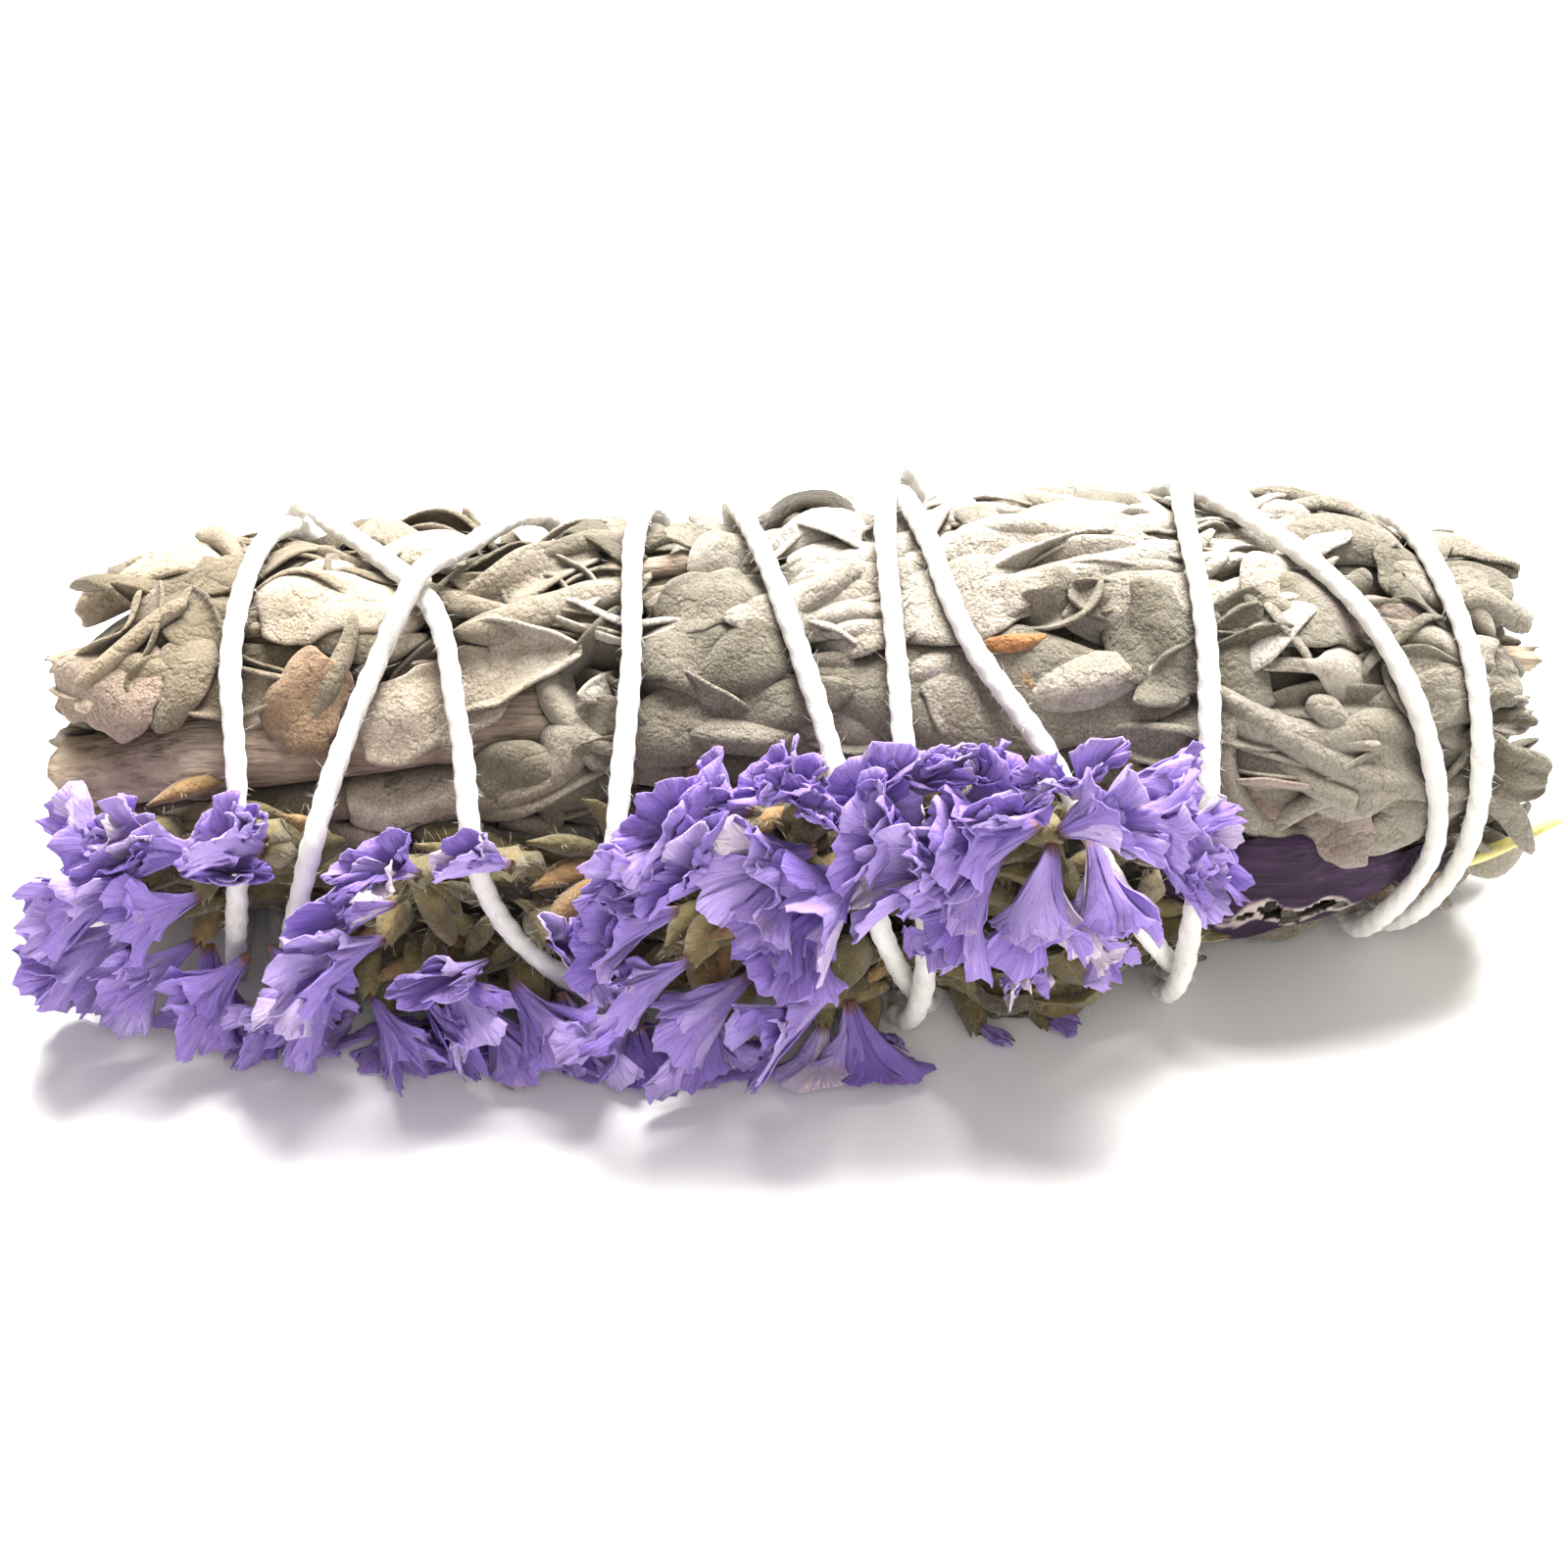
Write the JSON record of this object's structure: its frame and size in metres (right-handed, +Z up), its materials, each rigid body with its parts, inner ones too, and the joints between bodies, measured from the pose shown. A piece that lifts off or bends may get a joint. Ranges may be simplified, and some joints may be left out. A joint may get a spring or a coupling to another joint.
{
  "type": "sage bunch",
  "caption": "Dried sage smudge bunch lying on its side: leafy woody sprigs bound with criss-cross cotton string, with sprays of purple statice tied along the lower front.",
  "frame": {"origin": "bottom centre of the bunch's bounding box, on the surface that it lies on", "axes": "+X along the bundle towards the end where the string turns back, -Y towards the flowers, +Z up"},
  "size_m": [0.1282, 0.0561, 0.038],
  "materials": {
    "sage_leaf": "felted matte dried leaf",
    "sage_wood": "dry bark",
    "cotton_string": "twisted matte cotton",
    "statice_bloom": "papery, veined, slight sheen",
    "statice_green": "hairy dried green-brown",
    "dark_petal": "thin satin dried petal",
    "dry_straw": "smooth dry straw"
  },
  "bodies": {
    "root": {"sage_sprig_1": "sage_leaf", "sage_sprig_2": "sage_leaf", "sage_sprig_3": "sage_leaf", "sage_sprig_4": "sage_leaf", "sage_sprig_5": "sage_leaf", "sage_sprig_6": "sage_leaf", "sage_sprig_7": "sage_leaf", "sage_sprig_8": "sage_leaf", "sage_stem_1": "sage_wood", "sage_stem_2": "sage_wood", "sage_stem_3": "sage_wood", "sage_stem_4": "sage_wood", "sage_stem_5": "sage_wood", "sage_stem_6": "sage_wood", "sage_stem_7": "sage_wood", "sage_stem_8": "sage_wood", "sage_stem_middle": "sage_wood", "outer_woody_stem": "sage_wood", "top_stem": "sage_wood", "side_stalk": "sage_wood", "cotton_string": "cotton_string", "statice_stems_upper": "statice_green", "statice_stems_middle": "statice_green", "statice_stems_lower": "statice_green", "dark_petal": "dark_petal", "dry_blade": "dry_straw", "statice_blooms_01": "statice_bloom", "statice_blooms_02": "statice_bloom", "statice_blooms_03": "statice_bloom", "statice_blooms_04": "statice_bloom", "statice_blooms_05": "statice_bloom", "statice_blooms_06": "statice_bloom", "statice_blooms_07": "statice_bloom", "statice_blooms_08": "statice_bloom", "statice_blooms_09": "statice_bloom", "statice_blooms_10": "statice_bloom", "statice_blooms_11": "statice_bloom", "statice_blooms_12": "statice_bloom", "statice_blooms_13": "statice_bloom", "statice_blooms_14": "statice_bloom", "statice_blooms_15": "statice_bloom", "statice_blooms_16": "statice_bloom"}
  },
  "joints": []
}
